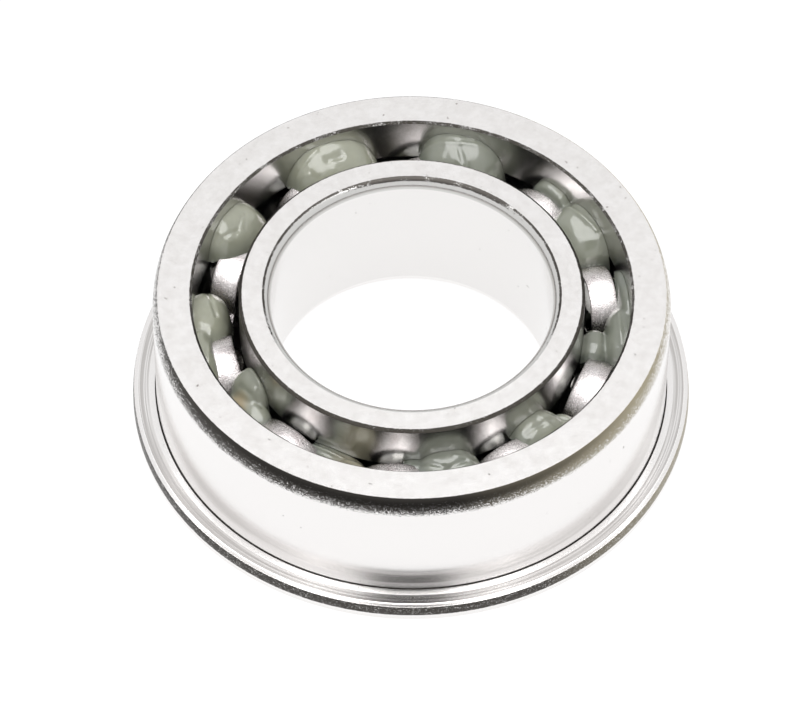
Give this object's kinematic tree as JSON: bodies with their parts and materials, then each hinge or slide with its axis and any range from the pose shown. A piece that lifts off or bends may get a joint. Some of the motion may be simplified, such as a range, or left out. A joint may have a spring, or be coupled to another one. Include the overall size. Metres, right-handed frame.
{
  "type": "wheel hub bearing",
  "caption": "Open deep-groove ball bearing with a thin flange round its outer ring, a pressed ribbon cage and packed grease, for the hub of a small wheel.",
  "frame": {"origin": "centre of the underside, on the bearing's axis", "axes": "+Z along the bearing's axis, from the flange towards the plain end"},
  "size_m": [0.0381, 0.038, 0.0111],
  "materials": {
    "ring_steel": "ground",
    "ball_steel": "polished",
    "cage_steel": "pressed, bright",
    "rivet_steel": "headed",
    "grease": "wet, translucent"
  },
  "bodies": {
    "outer_ring": {"outer_ring": "ring_steel"},
    "inner_ring": {"inner_ring": "ring_steel"},
    "cage": {"cage_upper_half": "cage_steel", "cage_lower_half": "cage_steel", "cage_rivets": "rivet_steel", "grease_01": "grease", "grease_02": "grease", "grease_03": "grease", "grease_04": "grease", "grease_05": "grease", "grease_06": "grease", "grease_07": "grease", "grease_08": "grease", "grease_09": "grease", "grease_10": "grease"},
    "ball_01": {"ball_01": "ball_steel"},
    "ball_02": {"ball_02": "ball_steel"},
    "ball_03": {"ball_03": "ball_steel"},
    "ball_04": {"ball_04": "ball_steel"},
    "ball_05": {"ball_05": "ball_steel"},
    "ball_06": {"ball_06": "ball_steel"},
    "ball_07": {"ball_07": "ball_steel"},
    "ball_08": {"ball_08": "ball_steel"},
    "ball_09": {"ball_09": "ball_steel"},
    "ball_10": {"ball_10": "ball_steel"}
  },
  "joints": [
    {"name": "inner_ring_spin", "type": "hinge", "parent": "outer_ring", "child": "inner_ring", "pos_m": [0, 0, 0.00556], "axis": [0, 0, 1], "continuous": true},
    {"name": "cage_orbit", "type": "hinge", "parent": "outer_ring", "child": "cage", "pos_m": [0, 0, 0.00556], "axis": [0, 0, 1], "continuous": true},
    {"name": "ball_01_spin", "type": "hinge", "parent": "cage", "child": "ball_01", "pos_m": [0.01287, 0.00316, 0.00556], "axis": [0, 0, 1], "continuous": true},
    {"name": "ball_02_spin", "type": "hinge", "parent": "cage", "child": "ball_02", "pos_m": [0.00856, 0.01013, 0.00556], "axis": [0, 0, 1], "continuous": true},
    {"name": "ball_03_spin", "type": "hinge", "parent": "cage", "child": "ball_03", "pos_m": [0.00097, 0.01322, 0.00556], "axis": [0, 0, 1], "continuous": true},
    {"name": "ball_04_spin", "type": "hinge", "parent": "cage", "child": "ball_04", "pos_m": [-0.00699, 0.01127, 0.00556], "axis": [0, 0, 1], "continuous": true},
    {"name": "ball_05_spin", "type": "hinge", "parent": "cage", "child": "ball_05", "pos_m": [-0.01227, 0.00501, 0.00556], "axis": [0, 0, 1], "continuous": true},
    {"name": "ball_06_spin", "type": "hinge", "parent": "cage", "child": "ball_06", "pos_m": [-0.01287, -0.00316, 0.00556], "axis": [0, 0, 1], "continuous": true},
    {"name": "ball_07_spin", "type": "hinge", "parent": "cage", "child": "ball_07", "pos_m": [-0.00856, -0.01013, 0.00556], "axis": [0, 0, 1], "continuous": true},
    {"name": "ball_08_spin", "type": "hinge", "parent": "cage", "child": "ball_08", "pos_m": [-0.00097, -0.01322, 0.00556], "axis": [0, 0, 1], "continuous": true},
    {"name": "ball_09_spin", "type": "hinge", "parent": "cage", "child": "ball_09", "pos_m": [0.00699, -0.01127, 0.00556], "axis": [0, 0, 1], "continuous": true},
    {"name": "ball_10_spin", "type": "hinge", "parent": "cage", "child": "ball_10", "pos_m": [0.01227, -0.00501, 0.00556], "axis": [0, 0, 1], "continuous": true}
  ],
  "couplings": [
    {"joint": "cage_orbit", "follows": "inner_ring_spin", "ratio": 0.41018},
    {"joint": "ball_01_spin", "follows": "inner_ring_spin", "ratio": -2.6936},
    {"joint": "ball_02_spin", "follows": "inner_ring_spin", "ratio": -2.6936},
    {"joint": "ball_03_spin", "follows": "inner_ring_spin", "ratio": -2.6936},
    {"joint": "ball_04_spin", "follows": "inner_ring_spin", "ratio": -2.6936},
    {"joint": "ball_05_spin", "follows": "inner_ring_spin", "ratio": -2.6936},
    {"joint": "ball_06_spin", "follows": "inner_ring_spin", "ratio": -2.6936},
    {"joint": "ball_07_spin", "follows": "inner_ring_spin", "ratio": -2.6936},
    {"joint": "ball_08_spin", "follows": "inner_ring_spin", "ratio": -2.6936},
    {"joint": "ball_09_spin", "follows": "inner_ring_spin", "ratio": -2.6936},
    {"joint": "ball_10_spin", "follows": "inner_ring_spin", "ratio": -2.6936}
  ]
}
